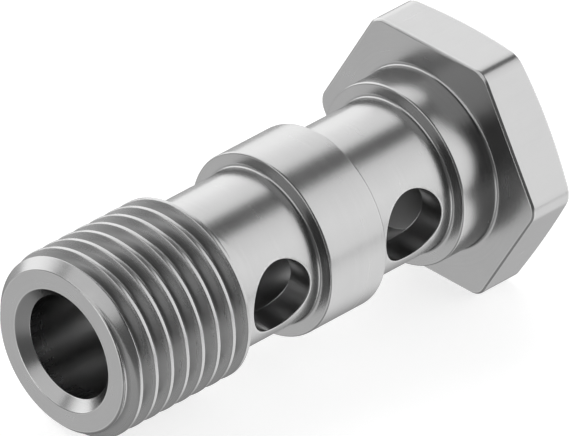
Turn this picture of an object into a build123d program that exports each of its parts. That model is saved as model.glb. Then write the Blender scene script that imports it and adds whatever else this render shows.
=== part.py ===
"""Banjo bolt with two necks, for two ring fittings stacked on one bolt.

The bolt is turned from one hexagon bar, so it is one solid. It lies along X: the threaded
end points to -X, the head to +X, one flat of the hexagon faces up (+Z), and the cross holes
run along Y. The origin is on the axis, in the plane of the head's bearing face.
"""

import os
from math import radians, sqrt, tan

from build123d import *

# Thread: metric, right-handed
thread_diameter = 14.0
thread_pitch = 1.5
thread_length = 12.0
thread_crest_flat = 0.28
thread_root_radius = 0.2
thread_flank_angle = 60.0
thread_end_chamfer = 0.9
# Where the first crest stands along the top of the bolt, counted from the end face
thread_first_crest = 0.6

# Necks, where the ring fittings sit over the cross holes
neck_diameter = 11.8
lower_neck_length = 7.5
upper_neck_length = 7.65

# Collar between the necks, and land under the head
collar_diameter = 14.0
collar_length = 5.5
land_diameter = 14.0
land_length = 3.35

# Hexagon head
across_flats = 18.7
head_height = 4.0
head_corner_radius = 1.5
head_top_diameter = 18.3
head_top_angle = 15.0
head_edge_break = 0.15

# Bore from the threaded end, with a drill point at its bottom, and the cross holes into it
bore_diameter = 7.8
bore_depth = 32.0
bore_mouth_diameter = 9.34
drill_point_angle = 118.0
cross_hole_diameter = 5.5

# Small rounds left by turning
inside_corner_radius = 0.25
outside_corner_radius = 0.15

# Places along X, counted back from the bearing face at zero
land_front = -land_length
collar_back = land_front - upper_neck_length
collar_front = collar_back - collar_length
thread_back = collar_front - lower_neck_length
end_face = thread_back - thread_length
bore_end = end_face + bore_depth
lower_hole_place = (thread_back + collar_front) / 2
upper_hole_place = (collar_back + land_front) / 2

# Radii
thread_radius = thread_diameter / 2
end_face_radius = thread_radius - thread_end_chamfer
neck_radius = neck_diameter / 2
collar_radius = collar_diameter / 2
land_radius = land_diameter / 2
head_top_radius = head_top_diameter / 2
bore_radius = bore_diameter / 2
bore_mouth_radius = bore_mouth_diameter / 2

# Bearing face of the turned shank, which ends inside the hexagon's own
bearing_radius = (land_radius + across_flats / 2) / 2

# Corners of the turned section, all left slightly rounded
inside_corners = [
    (thread_back, neck_radius),
    (collar_front, neck_radius),
    (collar_back, neck_radius),
    (land_front, neck_radius),
    (0, land_radius),
]
outside_corners = [
    (end_face, end_face_radius),
    (end_face + thread_end_chamfer, thread_radius),
    (collar_front, collar_radius),
    (collar_back, collar_radius),
    (land_front, land_radius),
]

# Head top cut: it starts at the top's circle and ends at the hexagon's sharp corners
head_cut_radius = across_flats / sqrt(3)
head_cut_drop = (head_cut_radius - head_top_radius) * tan(radians(head_top_angle))

# Thread groove: two flanks that open a little past the crest, and a round root. It winds from a
# turn and a half before the first crest, so it lies midway between crests
flank_slope = tan(radians(thread_flank_angle / 2))
groove_overrun = 0.4
groove_mouth_half_width = (thread_pitch - thread_crest_flat) / 2 + groove_overrun * flank_slope
groove_depth = groove_mouth_half_width / flank_slope
groove_turns_before = 1.5
groove_turns = round(thread_length / thread_pitch) + 2 * groove_turns_before
groove_start = end_face + thread_first_crest - groove_turns_before * thread_pitch
groove_length = groove_turns * thread_pitch

# Drill point: the cone at the bottom of the bore
drill_point_length = bore_radius / tan(radians(drill_point_angle / 2))

with BuildPart() as banjo_bolt:
    # Hexagon head, its upright corners rounded and its edge broken all round under the head
    with BuildSketch(Plane.YZ) as hexagon:
        RegularPolygon(radius=across_flats / 2, side_count=6, major_radius=False)
        fillet(hexagon.vertices(), radius=head_corner_radius)
    extrude(amount=head_height)
    chamfer(banjo_bolt.faces().sort_by(Axis.X)[0].edges(), length=head_edge_break)

    # Turned top of the head: the corners beyond a shallow cone are cut away
    with BuildSketch(Plane.XY) as head_cut:
        with BuildLine():
            Polyline(
                (head_height, head_top_radius),
                (head_height, head_cut_radius),
                (head_height - head_cut_drop, head_cut_radius),
                close=True,
            )
        make_face()
    revolve(axis=Axis.X, mode=Mode.SUBTRACT)

    # Turned shank: half its section, from the end face to inside the head, turned about X
    with BuildSketch(Plane.XY) as shank_section:
        with BuildLine():
            Polyline(
                (end_face, 0),
                (end_face, end_face_radius),
                (end_face + thread_end_chamfer, thread_radius),
                (thread_back, thread_radius),
                (thread_back, neck_radius),
                (collar_front, neck_radius),
                (collar_front, collar_radius),
                (collar_back, collar_radius),
                (collar_back, neck_radius),
                (land_front, neck_radius),
                (land_front, land_radius),
                (0, land_radius),
                (0, bearing_radius),
                (head_height / 2, bearing_radius),
                (head_height / 2, 0),
                close=True,
            )
        make_face()
        for corner in inside_corners:
            fillet(shank_section.vertices().sort_by_distance(corner)[0], radius=inside_corner_radius)
        for corner in outside_corners:
            fillet(shank_section.vertices().sort_by_distance(corner)[0], radius=outside_corner_radius)
    revolve(axis=Axis.X)

    # Thread: one groove wound round the shank, from before the end face to past the thread's back
    groove_path = Helix(
        pitch=thread_pitch,
        height=groove_length,
        radius=thread_radius,
        center=(groove_start, 0, 0),
        direction=(1, 0, 0),
    )
    with BuildSketch(Plane(origin=groove_path @ 0, x_dir=(1, 0, 0), z_dir=groove_path % 0)) as groove:
        with BuildLine():
            Polyline(
                (-groove_mouth_half_width, groove_overrun),
                (groove_mouth_half_width, groove_overrun),
                (0, groove_overrun - groove_depth),
                close=True,
            )
        make_face()
        fillet(groove.vertices().sort_by(Axis.Y)[0], radius=thread_root_radius)
    sweep(path=groove_path, is_frenet=True, mode=Mode.SUBTRACT)

    # Bore: countersunk mouth, straight wall, drill point
    with BuildSketch(Plane.XZ) as bore_section:
        with BuildLine():
            Polyline(
                (end_face, 0),
                (end_face, bore_mouth_radius),
                (end_face + bore_mouth_radius - bore_radius, bore_radius),
                (bore_end, bore_radius),
                (bore_end + drill_point_length, 0),
                close=True,
            )
        make_face()
    revolve(axis=Axis.X, mode=Mode.SUBTRACT)

    # Cross holes: straight through both walls of each neck
    with BuildSketch(Plane.XZ) as cross_holes:
        with Locations((lower_hole_place, 0), (upper_hole_place, 0)):
            Circle(cross_hole_diameter / 2)
    extrude(amount=thread_radius, both=True, mode=Mode.SUBTRACT)

os.makedirs("parts", exist_ok=True)
banjo_bolt.part.label = "banjo_bolt"
export_step(banjo_bolt.part, "parts/banjo_bolt.step")
print("banjo_bolt:", round(banjo_bolt.part.volume), "cubic mm, valid:", banjo_bolt.part.is_valid)
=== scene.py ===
# %% [markdown]
# # A banjo bolt, turned from one hexagon bar
#
# This bolt clamps two ring fittings to a port and lets fluid through its hollow shank. The
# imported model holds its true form. Here it gets a finer skin of the same sizes, with the
# small rounds that a lathe leaves on every edge, because bare metal shows itself by its
# edges. The skin is one closed surface, since the real bolt is one piece of steel.

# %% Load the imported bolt
import math

import bmesh
import bpy
import numpy as np
from mathutils import Matrix, Vector
from mathutils.bvhtree import BVHTree


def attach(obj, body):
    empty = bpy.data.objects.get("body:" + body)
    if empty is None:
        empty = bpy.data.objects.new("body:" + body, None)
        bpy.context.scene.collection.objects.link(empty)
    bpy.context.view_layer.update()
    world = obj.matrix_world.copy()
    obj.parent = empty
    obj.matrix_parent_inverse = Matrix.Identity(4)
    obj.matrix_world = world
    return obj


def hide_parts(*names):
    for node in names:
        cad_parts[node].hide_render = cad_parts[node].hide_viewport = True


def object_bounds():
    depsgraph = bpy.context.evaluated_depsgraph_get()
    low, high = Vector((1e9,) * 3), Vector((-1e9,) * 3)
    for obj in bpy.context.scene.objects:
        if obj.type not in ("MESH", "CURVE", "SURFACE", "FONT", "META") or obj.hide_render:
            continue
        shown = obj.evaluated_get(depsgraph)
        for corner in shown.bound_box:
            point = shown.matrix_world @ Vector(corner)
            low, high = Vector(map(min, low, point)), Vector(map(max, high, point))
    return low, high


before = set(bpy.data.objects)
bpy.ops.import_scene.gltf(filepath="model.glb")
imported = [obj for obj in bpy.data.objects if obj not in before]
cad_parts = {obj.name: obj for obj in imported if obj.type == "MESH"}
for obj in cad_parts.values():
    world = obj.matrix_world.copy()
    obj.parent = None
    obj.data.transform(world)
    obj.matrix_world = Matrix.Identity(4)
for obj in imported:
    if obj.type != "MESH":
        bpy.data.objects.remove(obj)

MM = 0.001
bpy.context.view_layer.update()
cad_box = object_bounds()
packed_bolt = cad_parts["banjo_bolt"]
print("packed bolt, mm:", [round(side / MM, 2) for side in cad_box[1] - cad_box[0]])

# %% [markdown]
# ## Sizes
#
# The sizes are in millimetres, along the bolt's axis X. The bearing face under the head is at
# zero, the head is at +X and the thread at -X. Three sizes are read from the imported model, so
# that the skin and the model can't drift apart. The rest are the ones it was drawn with.

# %% Sizes in millimetres
end_face = cad_box[0].x / MM
head_height = cad_box[1].x / MM
across_flats = (cad_box[1].z - cad_box[0].z) / MM

thread_radius = 7.0
thread_pitch = 1.5
thread_length = 12.0
thread_crest_flat = 0.28
thread_root_radius = 0.2
thread_end_chamfer = 0.9
thread_first_crest = 0.6
end_face_radius = thread_radius - thread_end_chamfer

neck_radius = 5.9
lower_neck_length = 7.5
upper_neck_length = 7.65
collar_radius = 7.0
collar_length = 5.5
land_radius = 7.0
land_length = 3.35

head_corner_radius = 1.5
head_top_radius = 9.15
head_top_angle = math.radians(15)
head_edge_break = 0.15

bore_radius = 3.9
bore_depth = 32.0
bore_mouth_radius = 4.67
drill_half_angle = math.radians(59)
drill_point_length = bore_radius / math.tan(drill_half_angle)
hole_radius = 2.75

# %% Places along the axis
thread_back = end_face + thread_length
collar_front = thread_back + lower_neck_length
collar_back = collar_front + collar_length
land_front = collar_back + upper_neck_length
bore_end = end_face + bore_depth
lower_hole = (thread_back + collar_front) / 2
upper_hole = (collar_back + land_front) / 2
print("the land ends at", round(land_front + land_length, 3), "mm, which should be zero")

# %% [markdown]
# ## One set of angles for every ring
#
# A turned surface is a profile carried round an axis. If every ring has its points at the
# same angles, neighbouring surfaces meet point on point and can be welded. The hexagon's six
# corners turn quickly, so the angles lie closer together there.

# %% Angles round the axis
COLUMN_STEP = 3.0
CORNER_STEP = 0.75
CORNER_REACH = 4.5


def column_degrees():
    """Angles from +Y towards +Z: even steps all round, and finer ones near each sixth of a turn."""
    even = np.arange(0.0, 360.0, COLUMN_STEP)
    near = np.arange(-CORNER_REACH, CORNER_REACH + CORNER_STEP / 2, CORNER_STEP)
    fine = (np.arange(0.0, 360.0, 60.0)[:, None] + near).ravel() % 360.0
    return np.unique(np.round(np.concatenate([even, fine]), 6))


angles = np.radians(column_degrees())
print("columns round the bolt:", len(angles))

# %% Points round the axis, and a store for the surfaces
surfaces = []


def on_axis(x, radius, angle):
    """Points at x along the axis: y is the radius times the angle's cosine, z times its sine."""
    x, radius, angle = np.broadcast_arrays(x, radius, angle)
    return np.stack([x, radius * np.cos(angle), radius * np.sin(angle)], axis=-1)


def add_surface(points, closed, edge=0.0, inside=0.0, drawn=0.0):
    """Keeps a grid of points, rows by columns. closed joins its last column to the first. The
    marks say how far a point is a worn edge, inside a hollow whose colour gets painted shade, or on
    a flat of the drawn bar."""
    marks = [np.broadcast_to(mark, points.shape[:2]) for mark in (edge, inside, drawn)]
    surfaces.append((points, closed, np.stack(marks, axis=-1)))


# %% [markdown]
# ## Rounded corners in a profile
#
# Every edge of the bolt is slightly round. A Bevel modifier could do that, but it works on
# whatever edges it finds. Here each corner of the profile becomes a short curve instead,
# which leaves in line with one side and arrives in line with the other. One more row of
# points beside each curve keeps the flat faces flat under smooth shading.

# %% Helpers that round the corners of a profile
SUPPORT = 0.04
CURVE_STEPS = np.linspace(0.0, 1.0, 6)


def curve_through(start, corner, end):
    """A parabola: start, corner and end weighted by (1-u) squared, 2u(1-u) and u squared."""
    u = CURVE_STEPS.reshape(-1, *([1] * start.ndim))
    return (1 - u) ** 2 * start + 2 * u * (1 - u) * corner + u**2 * end


def rounded_profile(corners):
    """Rows of x and radius, with edge marks. Each corner is (x, radius, cut, worn): x and radius
    may vary round the bolt, and the curve starts a distance cut from the corner on either side."""
    places = np.stack([
        np.stack(np.broadcast_arrays(x, radius, angles)[:2]) for x, radius, _, _ in corners
    ])
    rows, marks = [places[:1]], [0.0]
    for i, (_, _, cut, worn) in enumerate(corners[1:-1], start=1):
        here = places[i]
        back = (places[i - 1] - here) / np.linalg.norm(places[i - 1] - here, axis=0)
        ahead = (places[i + 1] - here) / np.linalg.norm(places[i + 1] - here, axis=0)
        rows.append((here + back * (cut + SUPPORT))[None])
        rows.append(curve_through(here + back * cut, here, here + ahead * cut))
        rows.append((here + ahead * (cut + SUPPORT))[None])
        marks += [0.0, *[worn] * len(CURVE_STEPS), 0.0]
    rows = np.concatenate([*rows, places[-1:]])
    return rows[:, 0], rows[:, 1], np.array([*marks, 0.0])[:, None]


def turn(corners, inside=0.0):
    """Carries a rounded profile round the axis and keeps the surface."""
    x, radius, edge = rounded_profile(corners)
    add_surface(on_axis(x, radius, angles), True, edge, inside)


# %% [markdown]
# ## The thread
#
# A thread is a groove wound round a plain blank. Its surface could be a profile swept along
# a helix, but then the run-out in the end chamfer would need a cut. Here the radius is a
# function of x and the angle: the lesser of the blank's radius and the groove's. Points
# crowd along the two lips where the groove breaks out, so each crest keeps a crisp edge.

# %% The blank and the groove
CHAMFER_CUT = 0.062
CHAMFER_BLEND = 0.06
BACK_ROUND = 0.1
FLANK_RISE = math.sqrt(3)
helix_angles = np.append(angles, angles[0] + 2 * math.pi)
cone_start = end_face + (CHAMFER_CUT + SUPPORT) * math.cos(math.radians(45))
cone_end = end_face + thread_end_chamfer
groove_start = end_face + thread_first_crest - thread_pitch / 2
lip_half_width = (thread_pitch - thread_crest_flat) / 2
sharp_root = thread_radius - lip_half_width * FLANK_RISE
root_half_width = thread_root_radius * math.cos(math.radians(30))
print("sharp root of the thread, mm:", round(sharp_root, 3))


def smooth_least(a, b, blend):
    """The lesser of two values. Where they differ by less than blend, a little is taken off: the
    square of the share of blend that is left, times a quarter of blend."""
    near = np.maximum(blend - np.abs(a - b), 0.0) / blend
    return np.minimum(a, b) - near**2 * blend / 4


def blank(x):
    """Radius of the blank: a 45 degree chamfer, a cylinder, and a quarter circle at the back."""
    chamfer = end_face_radius + (x - end_face)
    front = smooth_least(chamfer, np.full_like(x, thread_radius), CHAMFER_BLEND)
    past = np.clip(x - (thread_back - BACK_ROUND), 0.0, BACK_ROUND)
    return front - (BACK_ROUND - np.sqrt(BACK_ROUND**2 - past**2))


def groove(offset):
    """Radius across one groove: a circle at the root, then flanks that rise by the root of 3."""
    offset = np.abs(offset)
    circle = np.sqrt(np.maximum(thread_root_radius**2 - offset**2, 0.0))
    root = sharp_root + 2 * thread_root_radius - circle
    return np.where(offset < root_half_width, root, sharp_root + offset * FLANK_RISE)


# %% Where the groove breaks out of the blank
LIP_SAMPLES = 245
turn_share = (helix_angles - math.pi / 2) / (2 * math.pi)


def groove_centre(turn_number):
    """Middle of the groove along X at every angle. It moves on by one pitch in each whole turn."""
    return groove_start + thread_pitch * (turn_share + turn_number)


def lips(centre):
    """Distances from the middle to the two lips, where the groove's radius crosses the blank's."""
    offset = np.linspace(-lip_half_width, lip_half_width, LIP_SAMPLES)[:, None]
    over = groove(offset) - blank(centre + offset)
    cut = over < 0
    none = ~cut.any(axis=0)
    lowest = np.argmin(over, axis=0)
    first = np.where(none, lowest, np.argmax(cut, axis=0))
    last = np.where(none, lowest, len(offset) - 1 - np.argmax(cut[::-1], axis=0))
    column = np.arange(over.shape[1])

    def crossing(below, above):
        """A straight line between two samples gives the place where the difference is zero."""
        a, b = over[below, column], over[above, column]
        share = np.where((a < 0) & (b >= 0), a / np.where(a == b, 1.0, a - b), 0.0)
        return offset[below, 0] + share * (offset[above, 0] - offset[below, 0])

    before = np.maximum(first - 1, 0)
    after = np.minimum(last + 1, len(offset) - 1)
    return crossing(first, before), crossing(last, after)


# %% Rows of the thread, one turn after the other
GROOVE_TURNS = range(-1, 10)
CONE_END_REACH = 0.08
beside_lip = np.array([0.0, 0.015, 0.045])[:, None]
root_places = np.linspace(-1, 1, 7) * root_half_width
across_root = np.array([-0.43, -0.29, *root_places, 0.29, 0.43])[:, None]
cone_places = cone_end + np.linspace(-CONE_END_REACH, CONE_END_REACH, 5)
back_places = thread_back - BACK_ROUND * (1 - np.sin(np.linspace(0, math.pi / 2, 6)))
blank_places = np.concatenate([[cone_start + SUPPORT], cone_places, back_places])[:, None]

rows = []
right_before = None
for turn_number in GROOVE_TURNS:
    centre = groove_centre(turn_number)
    left, right = lips(centre)
    if right_before is not None:
        beside = np.minimum(beside_lip, (centre + left - right_before) / 2)
        rows.append(right_before + beside)
        rows.append(np.clip(blank_places, right_before + beside[-1], centre + left - beside[-1]))
        rows.append(centre + left - beside[::-1])
    beside = np.minimum(beside_lip, (right - left) / 2)
    rows.append(centre + left + beside)
    rows.append(centre + np.clip(across_root, left + beside[-1], right - beside[-1]))
    rows.append(centre + right - beside[::-1])
    right_before = centre + right
thread_x = np.clip(np.concatenate(rows), cone_start, thread_back)
print("rows of the thread:", len(thread_x))

# %% Surface of the thread
LIP_ROUND = 0.05
WORN_WIDTH = 0.06
SHADED_DEPTH = 0.8
ROOT_SHADE = 0.6
turns = (thread_x - groove_start) / thread_pitch - turn_share
groove_radius = groove((turns - np.round(turns)) * thread_pitch)
blank_radius = blank(thread_x)
radius = smooth_least(blank_radius, groove_radius, LIP_ROUND)
radius = np.where(thread_x <= cone_start, blank_radius, radius)
worn_lip = np.clip(1 - np.abs(blank_radius - groove_radius) / WORN_WIDTH, 0, 1)
shade = ROOT_SHADE * np.clip((blank_radius - radius) / SHADED_DEPTH, 0, 1)
add_surface(on_axis(thread_x, radius, helix_angles), False, edge=worn_lip, inside=shade)
back_radius = radius[-1, :-1]
print("thread radius, mm:", round(radius.min(), 3), "to", round(radius.max(), 3))

# %% [markdown]
# ## End face and shoulders
#
# The end face has a countersunk mouth inside and a chamfer outside. Behind the thread the
# bolt steps down to the neck, up to the collar and down again, and up to the land. Where it
# steps down a tool leaves a small inside round, and each outer edge has a smaller one. All of
# these are one profile each, carried round the axis.

# %% End face with the mouth of the bore
BORE_LEAD = 0.1
MOUTH_CUT = 0.04
FACE_CUT = 0.06
mouth_edge = end_face + bore_mouth_radius - bore_radius
bore_start = mouth_edge + BORE_LEAD
turn([
    (bore_start, bore_radius, 0, 0),
    (mouth_edge, bore_radius, MOUTH_CUT, 1),
    (end_face, bore_mouth_radius, FACE_CUT, 1),
    (end_face, end_face_radius, CHAMFER_CUT, 1),
    (cone_start, end_face_radius + cone_start - end_face, 0, 0),
])
print("bore mouth across, mm:", 2 * bore_mouth_radius)

# %% Back of the thread, and the collar
INSIDE_CUT = 0.29
OUTSIDE_CUT = 0.17
STRAIGHT = 0.35
FRONT_WEAR = 0.2
turn([
    (thread_back, back_radius, 0, 0),
    (thread_back, neck_radius, INSIDE_CUT, 0),
    (thread_back + STRAIGHT, neck_radius, 0, 0),
])
turn([
    (collar_front - STRAIGHT, neck_radius, 0, 0),
    (collar_front, neck_radius, INSIDE_CUT, 0),
    (collar_front, collar_radius, OUTSIDE_CUT, FRONT_WEAR),
    (collar_back, collar_radius, OUTSIDE_CUT, 0),
    (collar_back, neck_radius, INSIDE_CUT, 0),
    (collar_back + STRAIGHT, neck_radius, 0, 0),
])
print("collar, mm: from", round(collar_front, 2), "to", round(collar_back, 2))

# %% [markdown]
# ## The head
#
# The head keeps the hexagon of the bar. Its corners are rounded, its edge under the head is
# broken, and its top is turned to a shallow cone that meets the corners in long arcs. The
# same profile does all of it, because its radius may vary with the angle.

# %% Outline of the hexagon
SIXTH_TURN = math.pi / 3
TWELFTH_TURN = math.pi / 6


def hexagon_radius(angle):
    """Distance from the axis. On a flat it is half the width over the cosine of the angle from the
    flat's middle, and near a corner it is where the ray meets the corner's circle."""
    half = across_flats / 2
    circle_at = (half - head_corner_radius) / math.cos(TWELFTH_TURN)
    from_corner = (angle + TWELFTH_TURN) % SIXTH_TURN - TWELFTH_TURN
    from_flat = angle % SIXTH_TURN - TWELFTH_TURN
    aside = circle_at * np.sin(from_corner)
    chord = np.sqrt(np.maximum(head_corner_radius**2 - aside**2, 0.0))
    arc = circle_at * np.cos(from_corner) + chord
    touch_along = circle_at + head_corner_radius * math.cos(TWELFTH_TURN)
    touch = math.atan2(head_corner_radius / 2, touch_along)
    return np.where(np.abs(from_corner) < touch, arc, half / np.cos(from_flat))


side_radius = hexagon_radius(angles)
side_top = head_height - (side_radius - head_top_radius) * math.tan(head_top_angle)
print("head across its rounded corners, mm:", round(2 * side_radius.max(), 2))

# %% Land and head
EDGE_CUT = 0.05
TOP_CUT = 0.1
SIDE_BAND = 0.02
x, radius, worn_edge = rounded_profile([
    (land_front - STRAIGHT, neck_radius, 0, 0),
    (land_front, neck_radius, INSIDE_CUT, 0),
    (land_front, land_radius, OUTSIDE_CUT, FRONT_WEAR),
    (0.0, land_radius, INSIDE_CUT, 0),
    (0.0, side_radius - head_edge_break, EDGE_CUT, 1),
    (head_edge_break, side_radius, EDGE_CUT, 1),
    (side_top, side_radius, TOP_CUT, 1),
    (head_height, head_top_radius, TOP_CUT, 1),
    (head_height, 0.0, 0, 0),
])
on_side = np.clip(1 - np.abs(radius - side_radius) / SIDE_BAND, 0, 1)
add_surface(on_axis(x, radius, angles), True, edge=worn_edge, drawn=on_side)
print("rows of the land and head:", len(x))

# %% [markdown]
# ## Necks with cross holes
#
# A cross hole meets a neck along a saddle-shaped rim. A Boolean would cut it, but it leaves
# uneven faces that show in a mirror-like finish. Here the neck is unrolled into x and angle.
# Inside a window round each hole, the grid runs from the hole's rim out to the window's
# edge, so it follows the rim, and plain rows fill the rest.

# %% A window round a cross hole
RIM_CUT = 0.1
WINDOW = 66.0
MARGIN = 1.0
SIDE_STEPS = 20
turned = (column_degrees() + 180.0) % 360.0 - 180.0
window_angles = np.radians(np.sort(turned[np.abs(turned) <= WINDOW]))
past_first = angles > math.radians(WINDOW - MARGIN)
before_second = angles < math.radians(180 - WINDOW + MARGIN)
between_angles = angles[past_first & before_second]
side_share = np.linspace(-1.0, 1.0, SIDE_STEPS + 1)
end_share = np.ones(len(window_angles) - 1)
edge_share = np.concatenate([-end_share, side_share[:-1], end_share, side_share[:0:-1]])
edge_angle = np.concatenate([
    window_angles[:-1],
    np.full(SIDE_STEPS, window_angles[-1]),
    window_angles[:0:-1],
    np.full(SIDE_STEPS, window_angles[0]),
])
rim_angle = np.arctan2(edge_share, edge_angle / window_angles[-1])
outward = np.array([0.0, 0.04, 0.12, 0.22, 0.34, 0.48, 0.64, 0.82, 1.0])[:, None]
print("points round a cross hole:", len(rim_angle))


# %% The pierced cylinder
HALF_TURN = (1.0, -1.0, -1.0)


def add_pair(points, closed, **marks):
    """Keeps a surface, and its copy turned half-way round the axis: y and z change their signs."""
    add_surface(points, closed, **marks)
    add_surface(points * HALF_TURN, closed, **marks)


def rim(place, rim_radius, radius):
    """The circle of that rim radius, laid on a cylinder: x is the place plus the rim radius times
    the sine, and the angle's sine is the rim radius times the cosine over the cylinder's radius."""
    x = place + rim_radius * np.sin(rim_angle)
    return x, np.arcsin(rim_radius * np.cos(rim_angle) / radius)


def along(place, low, high, share):
    """A place along X: a share of -1 is the low end, 0 the hole's middle and 1 the high end."""
    return place + share * np.where(share < 0, place - low, high - place)


def pierced_cylinder(place, low, high, radius, inside=0.0):
    """A cylinder from low to high with a hole right through. In x and angle, each window's rows go
    straight from the hole's rim to the window's edge."""
    rim_x, rim_turn = rim(place, hole_radius + RIM_CUT, radius)
    x = (1 - outward) * rim_x + outward * along(place, low, high, edge_share)
    turn_angle = (1 - outward) * rim_turn + outward * edge_angle
    add_pair(on_axis(x, radius, turn_angle), True, inside=inside)
    x = along(place, low, high, side_share)[:, None]
    add_pair(on_axis(x, radius, between_angles), False, inside=inside)


# %% The wall of a cross hole
WALL_ROWS = 5


def hole_wall(place, outer, inner):
    """From the neck to the bore along Y. At each end a parabola leads from cylinder to hole."""
    outward_step = np.array([0.0, RIM_CUT, 0.0])
    support_step = np.array([0.0, RIM_CUT + SUPPORT, 0.0])
    outer_edge, outer_corner, inner_corner, inner_edge = (
        on_axis(x, radius, turn_angle)
        for radius, (x, turn_angle) in (
            (outer, rim(place, hole_radius + RIM_CUT, outer)),
            (outer, rim(place, hole_radius, outer)),
            (inner, rim(place, hole_radius, inner)),
            (inner, rim(place, hole_radius + RIM_CUT, inner)),
        )
    )
    lip = curve_through(outer_edge, outer_corner, outer_corner - outward_step)
    foot = curve_through(inner_corner + outward_step, inner_corner, inner_edge)
    top, bottom = outer_corner - support_step, inner_corner + support_step
    wall = top + np.linspace(0, 1, WALL_ROWS)[:, None, None] * (bottom - top)
    points = np.concatenate([lip, wall, foot])
    worn = np.concatenate([np.ones(len(lip)), np.zeros(len(wall) + len(foot))])
    # Deeper points of the hole's wall get a larger inside mark, which paints shade into their
    # colour.
    deeper = np.linspace(0, 1, len(points))
    add_pair(points, True, edge=worn[:, None], inside=deeper[:, None])


# %% Both necks
for place, low, high in (
    (lower_hole, thread_back + STRAIGHT, collar_front - STRAIGHT),
    (upper_hole, collar_back + STRAIGHT, land_front - STRAIGHT),
):
    pierced_cylinder(place, low, high, neck_radius)
    hole_wall(place, neck_radius, bore_radius)
print("surfaces so far:", len(surfaces))

# %% [markdown]
# ## The bore
#
# The bore is drilled from the threaded end and stops under the head, in the cone of the
# drill's point. Its wall needs the same windows, so that the cross holes open into it.

# %% Wall of the bore and the drill's point
HOLE_REACH = 3.4
POINT_CUT = 0.02
ENTRY_SHADE = 0.4
lower_low, lower_high = lower_hole - HOLE_REACH, lower_hole + HOLE_REACH
upper_low, upper_high = upper_hole - HOLE_REACH, bore_end - POINT_CUT - SUPPORT
# The bore's walls carry the full inside mark, which paints shade into their colour; towards the
# mouth it fades in.
pierced_cylinder(lower_hole, lower_low, lower_high, bore_radius, inside=1.0)
pierced_cylinder(upper_hole, upper_low, upper_high, bore_radius, inside=1.0)
entry = np.linspace(bore_start, lower_low, 6)[:, None]
entry_shade = np.linspace(ENTRY_SHADE, 1, len(entry))[:, None]
middle = np.linspace(lower_high, upper_low, 4)[:, None]
add_surface(on_axis(entry, bore_radius, angles), True, inside=entry_shade)
add_surface(on_axis(middle, bore_radius, angles), True, inside=1.0)
turn(
    [
        (upper_high, bore_radius, 0, 0),
        (bore_end, bore_radius, POINT_CUT, 0),
        (bore_end + drill_point_length, 0.0, 0, 0),
    ],
    inside=1.0,
)
print("surfaces in all:", len(surfaces))

# %% [markdown]
# ## Welding the skin
#
# All the grids go into one mesh. Points that meet are merged, which closes every seam and
# turns each pole's ring into one point. Then all faces are turned outwards, and only folds
# sharper than 35 degrees stay sharp in the shading.

# %% One mesh from all the grids
def grid_faces(rows, columns, closed):
    """Four-cornered faces of a grid whose points are numbered row by row."""
    row = np.arange(rows - 1)[:, None] * columns
    column = np.arange(columns if closed else columns - 1)
    beside = (column + 1) % columns
    corners = [row + column, row + beside, row + columns + beside, row + columns + column]
    return np.stack(corners, axis=-1).reshape(-1, 4)


def joined_grids():
    """Points, faces and marks of all the surfaces. A grid's faces count on from the last point."""
    counts = [points.shape[0] * points.shape[1] for points, _, _ in surfaces]
    starts = np.concatenate([[0], np.cumsum(counts)[:-1]])
    points = np.concatenate([points.reshape(-1, 3) for points, _, _ in surfaces])
    marks = np.concatenate([marks.reshape(-1, 3) for _, _, marks in surfaces])
    grids = [grid_faces(*points.shape[:2], closed) for points, closed, _ in surfaces]
    faces = np.concatenate([grid + start for grid, start in zip(grids, starts)])
    return points, faces, marks


def skin_mesh(name):
    """The joined grids as a mesh, with the three marks as attributes of its points."""
    points, faces, marks = joined_grids()
    mesh = bpy.data.meshes.new(name)
    mesh.vertices.add(len(points))
    mesh.vertices.foreach_set("co", (points * MM).astype(np.float32).ravel())
    mesh.loops.add(faces.size)
    mesh.loops.foreach_set("vertex_index", faces.ravel().astype(np.int32))
    mesh.polygons.add(len(faces))
    mesh.polygons.foreach_set("loop_start", np.arange(0, faces.size, 4, dtype=np.int32))
    mesh.update(calc_edges=True)
    for column, mark in enumerate(("edge", "inside", "drawn")):
        layer = mesh.attributes.new(mark, "FLOAT", "POINT")
        layer.data.foreach_set("value", marks[:, column].astype(np.float32))
    return mesh


# %% Weld, turn outwards and shade
WELD_DISTANCE = 2e-7
SHARP_FOLD = math.radians(35)
skin = skin_mesh("bolt_skin")
work = bmesh.new()
work.from_mesh(skin)
bmesh.ops.remove_doubles(work, verts=work.verts, dist=WELD_DISTANCE)
bmesh.ops.recalc_face_normals(work, faces=work.faces)
triangles = sum(len(face.verts) - 2 for face in work.faces)
open_edges = sum(len(edge.link_faces) != 2 for edge in work.edges)
volume = work.calc_volume(signed=True) / MM**3
work.to_mesh(skin)
work.free()
skin.shade_smooth()
skin.set_sharp_from_angle(angle=SHARP_FOLD)
bolt = bpy.data.objects.new("bolt_skin", skin)
bpy.context.scene.collection.objects.link(bolt)
print("triangles:", triangles, "open edges:", open_edges, "volume, cubic mm:", round(volume, 1))

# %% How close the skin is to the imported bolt
SAMPLE_STEP = 7
packed_surface = BVHTree.FromObject(packed_bolt, bpy.context.evaluated_depsgraph_get())
points = np.empty(len(skin.vertices) * 3, np.float32)
skin.vertices.foreach_get("co", points)
sample = points.reshape(-1, 3)[::SAMPLE_STEP]
gaps = np.array([packed_surface.find_nearest(Vector(point))[3] for point in sample]) / MM
print("from the packed surface, mm: mean", gaps.mean().round(4), "most", gaps.max().round(3))

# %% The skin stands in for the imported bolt
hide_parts("banjo_bolt")
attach(bolt, "root")

# %% [markdown]
# ## Helpers for shader trees
#
# A material is a tree of nodes. These helpers make one node each and link what it needs, so
# that the cells below can be read like sums.

# %% Helpers for nodes
def new_tree(owner):
    """Empties the node tree of a material or world and returns it."""
    owner.use_nodes = True
    owner.node_tree.nodes.clear()
    return owner.node_tree


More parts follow.
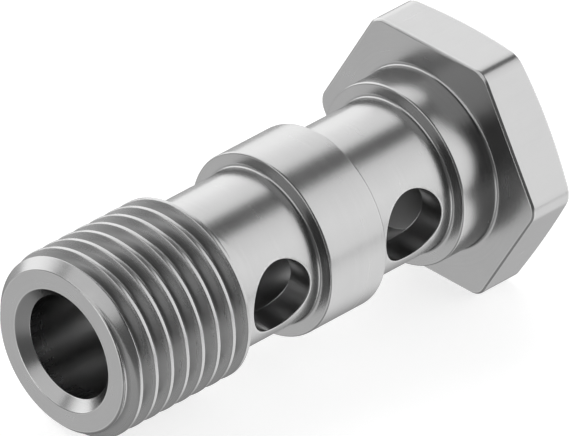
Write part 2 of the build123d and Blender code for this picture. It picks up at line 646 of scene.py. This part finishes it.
def feed(tree, socket, value):
    """Sets a socket to a number, or links an output to it."""
    if isinstance(value, bpy.types.NodeSocket):
        tree.links.new(value, socket)
    else:
        socket.default_value = value


def math_node(tree, operation, *values):
    """The result of a Math node."""
    node = tree.nodes.new("ShaderNodeMath")
    node.operation = operation
    for socket, value in zip(node.inputs, values):
        feed(tree, socket, value)
    return node.outputs["Value"]


def map_range(tree, value, from_low, from_high, to_low, to_high):
    """A value carried smoothly from one range to another, and held at the ends."""
    node = tree.nodes.new("ShaderNodeMapRange")
    node.interpolation_type = "SMOOTHSTEP"
    for socket, number in zip(node.inputs, (value, from_low, from_high, to_low, to_high)):
        feed(tree, socket, number)
    return node.outputs["Result"]


def noise(tree, vector, scale, detail=2.0):
    """A Noise Texture read at a vector, between 0 and 1."""
    node = tree.nodes.new("ShaderNodeTexNoise")
    node.inputs["Scale"].default_value = scale
    node.inputs["Detail"].default_value = detail
    tree.links.new(vector, node.inputs["Vector"])
    return node.outputs["Fac"]


def toward(tree, place, direction):
    """How far a place lies in a direction: the sum of the products of their coordinates."""
    node = tree.nodes.new("ShaderNodeVectorMath")
    node.operation = "DOT_PRODUCT"
    node.inputs[1].default_value = direction
    tree.links.new(place, node.inputs[0])
    return node.outputs["Value"]


def new_group(name, outputs):
    """An empty node group with plain number outputs. Returns its tree and its output node."""
    group = bpy.data.node_groups.new(name, "ShaderNodeTree")
    for output in outputs:
        group.interface.new_socket(output, in_out="OUTPUT", socket_type="NodeSocketFloat")
    return group, group.nodes.new("NodeGroupOutput")


def place_group(tree, group):
    """Puts a group into a tree and returns its outputs."""
    node = tree.nodes.new("ShaderNodeGroup")
    node.node_tree = group
    return node.outputs


# %% [markdown]
# ## Marks of the lathe
#
# A turning tool leaves rings as it moves along the work. On a cylinder they differ along X,
# and on a face they differ with the distance from the axis, so a noise read at those two
# numbers gives the right rings on both. They are far finer than the picture can show one by
# one, and only soften the shine a little. In the bore and the thread's roots they fade out.

# %% Group for turned faces
RING_SCALE = 5200.0
PATCH_SCALE = 420.0
turning, turning_out = new_group("turning marks", ("Rings", "Patches"))
place = turning.nodes.new("ShaderNodeTexCoord").outputs["Object"]
split = turning.nodes.new("ShaderNodeSeparateXYZ")
turning.links.new(place, split.inputs["Vector"])
y_squared = math_node(turning, "MULTIPLY", split.outputs["Y"], split.outputs["Y"])
z_squared = math_node(turning, "MULTIPLY", split.outputs["Z"], split.outputs["Z"])
from_axis = math_node(turning, "SQRT", math_node(turning, "ADD", y_squared, z_squared))
ring_place = turning.nodes.new("ShaderNodeCombineXYZ")
turning.links.new(split.outputs["X"], ring_place.inputs["X"])
turning.links.new(from_axis, ring_place.inputs["Y"])
rings = noise(turning, ring_place.outputs["Vector"], RING_SCALE, 1.0)
patches = noise(turning, place, PATCH_SCALE)
turning.links.new(rings, turning_out.inputs["Rings"])
turning.links.new(patches, turning_out.inputs["Patches"])
print("group:", turning.name)

# %% [markdown]
# ## Marks of the drawn bar
#
# The hexagon's flats are not turned. They keep the fine lengthwise streaks of the drawn bar,
# so their noise is stretched along X.

# %% Group for drawn flats
STREAK_SCALE = 4200.0
STREAK_STRETCH = (0.05, 1.0, 1.0)
drawing, drawing_out = new_group("drawing marks", ("Streaks",))
place = drawing.nodes.new("ShaderNodeTexCoord").outputs["Object"]
stretch = drawing.nodes.new("ShaderNodeMapping")
stretch.inputs["Scale"].default_value = STREAK_STRETCH
drawing.links.new(place, stretch.inputs["Vector"])
streaks = noise(drawing, stretch.outputs["Vector"], STREAK_SCALE)
drawing.links.new(streaks, drawing_out.inputs["Streaks"])
print("group:", drawing.name)

# %% [markdown]
# ## Edges and hollows
#
# Edges that are handled are rubbed a little brighter. Hollows such as the bore and the thread's
# roots are painted darker, as painted shade for the shade that falls in them. The skin's points
# carry both as attributes, and a noise breaks them up so that they are not even all along.

# %% Group for edge wear and painted shade in hollows
WEAR_SCALE = 700.0
wear_and_shade, wear_and_shade_out = new_group("edge wear and hollow shade", ("Edge", "Hollow"))
place = wear_and_shade.nodes.new("ShaderNodeTexCoord").outputs["Object"]
breakup = map_range(wear_and_shade, noise(wear_and_shade, place, WEAR_SCALE, 1.0), 0.3, 0.7, 0.7, 1.0)
# The inside mark is painted shade: it darkens the colour in the hollows.
for mark, output in (("edge", "Edge"), ("inside", "Hollow")):
    attribute = wear_and_shade.nodes.new("ShaderNodeAttribute")
    attribute.attribute_name = mark
    broken_up = math_node(wear_and_shade, "MULTIPLY", attribute.outputs["Fac"], breakup)
    wear_and_shade.links.new(broken_up, wear_and_shade_out.inputs[output])
print("group:", wear_and_shade.name)

# %% [markdown]
# ## Satin steel
#
# The bolt is plain steel with a satin shine: fully metallic, a neutral grey, and rough enough
# that the lamps blur into soft bands. The groups only shift the tone and the roughness by a
# little, because the real finish looks even from arm's length. Each share below says how far
# one mark shifts them.

# %% The steel's masks
FADE_PER_HOLLOW = -1.5
steel = bpy.data.materials.new("satin_steel")
tree = new_tree(steel)
turned_marks = place_group(tree, turning)
drawn_marks = place_group(tree, drawing)
worn = place_group(tree, wear_and_shade)
drawn = tree.nodes.new("ShaderNodeAttribute")
drawn.attribute_name = "drawn"
blend = tree.nodes.new("ShaderNodeMix")
feed(tree, blend.inputs[0], drawn.outputs["Fac"])
feed(tree, blend.inputs[2], turned_marks["Rings"])
feed(tree, blend.inputs[3], drawn_marks["Streaks"])
faded = math_node(tree, "MULTIPLY_ADD", worn["Hollow"], FADE_PER_HOLLOW, 1.0)
marks_left = math_node(tree, "MAXIMUM", faded, 0.0)
swing = math_node(tree, "SUBTRACT", blend.outputs[0], 0.5)
fine_marks = math_node(tree, "MULTIPLY_ADD", swing, marks_left, 0.5)
print("groups placed in the steel:", turning.name + ",", drawing.name + ",", wear_and_shade.name)

# %% The steel's tone and colour
PLAIN_TONE = 0.325
DARK_STEEL = (0.3, 0.3, 0.302, 1.0)
LIGHT_STEEL = (0.48, 0.48, 0.478, 1.0)


def shifted(tree, plain, shares):
    """A plain value plus, for each mark, the mark times its share."""
    value = plain
    for mark, share in shares:
        value = math_node(tree, "MULTIPLY_ADD", mark, share, value)
    return value


# The hollow share is painted shade: it darkens the colour in the bore, the holes and the thread's
# roots.
tone = shifted(tree, PLAIN_TONE, (
    (turned_marks["Patches"], 0.2),
    (fine_marks, 0.15),
    (worn["Edge"], 0.35),
    (worn["Hollow"], -0.2),
))
colour = tree.nodes.new("ShaderNodeValToRGB")
colour.color_ramp.elements[0].color = DARK_STEEL
colour.color_ramp.elements[1].color = LIGHT_STEEL
tree.links.new(tone, colour.inputs["Fac"])
print("steel, from dark to light:", DARK_STEEL[0], "to", LIGHT_STEEL[0])

# %% The steel's roughness and fine relief
PLAIN_ROUGHNESS = 0.2
RELIEF_DEPTH = 0.00001
roughness = shifted(tree, PLAIN_ROUGHNESS, (
    (turned_marks["Patches"], 0.06),
    (fine_marks, 0.05),
    (worn["Hollow"], 0.1),
))
relief = tree.nodes.new("ShaderNodeBump")
relief.inputs["Strength"].default_value = 0.08
relief.inputs["Distance"].default_value = RELIEF_DEPTH
tree.links.new(fine_marks, relief.inputs["Height"])
print("steel roughness, plain:", PLAIN_ROUGHNESS)

# %% The steel's shader
shader = tree.nodes.new("ShaderNodeBsdfPrincipled")
shader.inputs["Metallic"].default_value = 1.0
shader.inputs["Specular Tint"].default_value = (0.75, 0.75, 0.75, 1.0)
tree.links.new(colour.outputs["Color"], shader.inputs["Base Color"])
tree.links.new(roughness, shader.inputs["Roughness"])
tree.links.new(relief.outputs["Normal"], shader.inputs["Normal"])
output = tree.nodes.new("ShaderNodeOutputMaterial")
tree.links.new(shader.outputs["BSDF"], output.inputs["Surface"])
skin.materials.append(steel)
print("material:", steel.name)

# %% [markdown]
# ## Camera
#
# The picture was taken from the threaded end, a little above, through a very long lens that
# keeps parallel edges nearly parallel. The camera is placed by its aim, two angles and a
# distance, and then turned slightly about its own axis.

# %% Camera at the picture's angle
azimuth = math.radians(-45.216)
elevation = math.radians(32.742)
roll = math.radians(0.626)
aim = Vector((-0.013498, 0.000585, 0.000641))
camera_distance = 0.99935
towards = Vector((
    math.sin(azimuth) * math.cos(elevation),
    -math.cos(azimuth) * math.cos(elevation),
    math.sin(elevation),
))
level = Vector((math.cos(azimuth), math.sin(azimuth), 0.0))
upright = towards.cross(level)
right = level * math.cos(roll) + upright * math.sin(roll)
up = towards.cross(right)
camera = bpy.data.objects.new("camera", bpy.data.cameras.new("camera"))
bpy.context.scene.collection.objects.link(camera)
turned_axes = Matrix((right, up, towards)).transposed().to_4x4()
camera.matrix_world = Matrix.Translation(aim + towards * camera_distance) @ turned_axes
camera.data.sensor_width = 36.0
camera.data.lens = 897.5
camera.data.clip_start = 0.01
camera.data.clip_end = 10.0
bpy.context.scene.camera = camera
bpy.context.scene.view_settings.view_transform = "Standard"
print("camera at, m:", [round(value, 3) for value in camera.matrix_world.translation])

# %% [markdown]
# ## Floor
#
# The bolt lies on white paper, touching it with one edge of the head and one crest of the
# thread, so the sheet is tilted by the few degrees that the bolt would tip. The paper glows
# a little to the camera, and more so further off where the lamps don't reach, but not in
# the light that it throws, so it looks white and the bolt's soft shadow stays. Mirrored
# rays pass through it. A small sheet's own reflection would be patchy in the metal, so the
# lower half of the room is mirrored in its place.

# %% Paper under the bolt
REACH = 1.5
crest_above_head = 0.00235
crest_from_head = 0.035
slope = crest_above_head / crest_from_head
rest_height = -0.00935
square = ((-REACH, -REACH), (REACH, -REACH), (REACH, REACH), (-REACH, REACH))
sheet = bpy.data.meshes.new("paper")
sheet.from_pydata([(x, y, rest_height - x * slope) for x, y in square], [], [(0, 1, 2, 3)])
floor = bpy.data.objects.new("paper", sheet)
bpy.context.scene.collection.objects.link(floor)
print("paper slope, degrees:", round(math.degrees(math.atan(slope)), 2))

# %% White paper
PAPER_GREY = (0.5, 0.5, 0.5, 1.0)
GLOW_NEAR, GLOW_FAR = 0.73, 1.0
paper = bpy.data.materials.new("white_paper")
tree = new_tree(paper)
diffuse = tree.nodes.new("ShaderNodeBsdfDiffuse")
diffuse.inputs["Color"].default_value = PAPER_GREY
light_path = tree.nodes.new("ShaderNodeLightPath").outputs
seen = math_node(tree, "MAXIMUM", light_path["Is Camera Ray"], light_path["Is Transmission Ray"])
far_off = tree.nodes.new("ShaderNodeVectorMath")
far_off.operation = "LENGTH"
tree.links.new(tree.nodes.new("ShaderNodeTexCoord").outputs["Object"], far_off.inputs[0])
glow_level = map_range(tree, far_off.outputs["Value"], 0.08, 0.3, GLOW_NEAR, GLOW_FAR)
glow = tree.nodes.new("ShaderNodeEmission")
tree.links.new(math_node(tree, "MULTIPLY", seen, glow_level), glow.inputs["Strength"])
both = tree.nodes.new("ShaderNodeAddShader")
tree.links.new(diffuse.outputs["BSDF"], both.inputs[0])
tree.links.new(glow.outputs["Emission"], both.inputs[1])
clear = tree.nodes.new("ShaderNodeBsdfTransparent")
choice = tree.nodes.new("ShaderNodeMixShader")
tree.links.new(light_path["Is Glossy Ray"], choice.inputs["Fac"])
tree.links.new(both.outputs["Shader"], choice.inputs[1])
tree.links.new(clear.outputs["BSDF"], choice.inputs[2])
output = tree.nodes.new("ShaderNodeOutputMaterial")
tree.links.new(choice.outputs["Shader"], output.inputs["Surface"])
sheet.materials.append(paper)
print("material:", paper.name)

# %% [markdown]
# ## Lamps
#
# Bare metal shows what stands round it. Three soft boxes give the picture's bands: a wide
# one at the back left for the broad light along the top, one at the right for the lower
# band, and a small one over the threaded end. The gap between the first two is the dark
# line along the shank.

# %% Soft boxes
BOLT_MIDDLE = Vector((-0.016, 0.0, 0.0))


def softbox(name, side, distance, width, height, strength):
    """A rectangular lamp that faces the bolt. Its power is its strength times pi times its area."""
    lamp = bpy.data.lights.new(name, "AREA")
    lamp.shape = "RECTANGLE"
    lamp.size = width
    lamp.size_y = height
    lamp.energy = strength * math.pi * width * height
    box = bpy.data.objects.new(name, lamp)
    bpy.context.scene.collection.objects.link(box)
    direction = Vector(side).normalized()
    box.location = BOLT_MIDDLE + direction * distance
    box.rotation_euler = direction.to_track_quat("Z", "Y").to_euler()
    box.visible_camera = False


softbox("back_left", (0.25, 0.83, 0.5), distance=0.45, width=0.85, height=0.62, strength=1.4)
softbox("right", (0.68, -0.62, 0.36), distance=0.4, width=0.34, height=0.5, strength=1.4)
softbox("front", (-0.68, 0.05, 0.68), distance=0.4, width=0.46, height=0.36, strength=1.1)

# %% [markdown]
# ## Walls and ceiling
#
# The room is bright on the far side and dim behind the camera and overhead. Those dim parts
# are what gives the shank and the thread their dark bands. Each part fades into the next by
# how far a direction points to one side or up. The camera sees plain white in its place, so
# the room shows only in the metal.

# %% The upper half of the room
FAR_SIDE = (0.707, 0.707, 0.0)
DIM_WALL, BRIGHT_WALL = 0.16, 0.8
room = bpy.data.worlds.new("studio")
bpy.context.scene.world = room
tree = new_tree(room)
place = tree.nodes.new("ShaderNodeTexCoord").outputs["Generated"]
split = tree.nodes.new("ShaderNodeSeparateXYZ")
tree.links.new(place, split.inputs["Vector"])
height = split.outputs["Z"]
walls = map_range(tree, toward(tree, place, FAR_SIDE), -0.5, 0.6, DIM_WALL, BRIGHT_WALL)
ceiling = map_range(tree, height, 0.25, 0.7, 1.0, 0.3)
skirting = map_range(tree, height, -0.65, -0.25, 0.24, 1.0)
above = math_node(tree, "MULTIPLY", math_node(tree, "MULTIPLY", walls, ceiling), skirting)
print("walls, from dim to bright:", DIM_WALL, "to", BRIGHT_WALL)

# %% [markdown]
# ## The floor that the metal mirrors
#
# Faces that look down or along the bolt mirror the table top. It is brightest at the right,
# under the right lamp, less so at the left, and dim in the shade between and in front. That
# is what keeps the end face a plain middle grey and gives the lower side its bright band. A
# small light just below the horizon, straight past the threaded end, draws the thin bright
# line on the rim of the end face.

# %% The lower half of the room
RIGHT_SIDE = (0.707, -0.707, 0.0)
PAST_END = (-0.985, 0.141, -0.089)
right_side = toward(tree, place, RIGHT_SIDE)
in_shade = map_range(tree, height, -0.5, -0.1, 0.44, 0.1)
at_right = map_range(tree, right_side, 0.05, 0.58, 0.0, 1.2)
at_left = map_range(tree, right_side, -0.7, -0.2, 0.58, 0.0)
below_horizon = map_range(tree, height, -0.28, -0.1, 1.0, 0.0)
table = math_node(tree, "ADD", math_node(tree, "ADD", in_shade, at_right), at_left)
below = math_node(tree, "MULTIPLY", table, below_horizon)
low_light = map_range(tree, toward(tree, place, PAST_END), 0.93, 0.985, 0.0, 2.5)
mirrored = math_node(tree, "MAXIMUM", math_node(tree, "MAXIMUM", above, below), low_light)
print("table top, brightest at the right side:", RIGHT_SIDE)

# %% The room, which the camera sees as plain white
background = tree.nodes.new("ShaderNodeBackground")
background.inputs["Color"].default_value = (1.0, 1.0, 1.0, 1.0)
light_path = tree.nodes.new("ShaderNodeLightPath").outputs
seen = math_node(tree, "MAXIMUM", light_path["Is Camera Ray"], light_path["Is Transmission Ray"])
tree.links.new(math_node(tree, "MAXIMUM", mirrored, seen), background.inputs["Strength"])
output = tree.nodes.new("ShaderNodeOutputWorld")
tree.links.new(background.outputs["Background"], output.inputs["Surface"])
print("world:", room.name)

# %% [markdown]
# ## Finish
#
# At the end the view layer is brought up to date.

# %% Finish
bpy.context.view_layer.update()
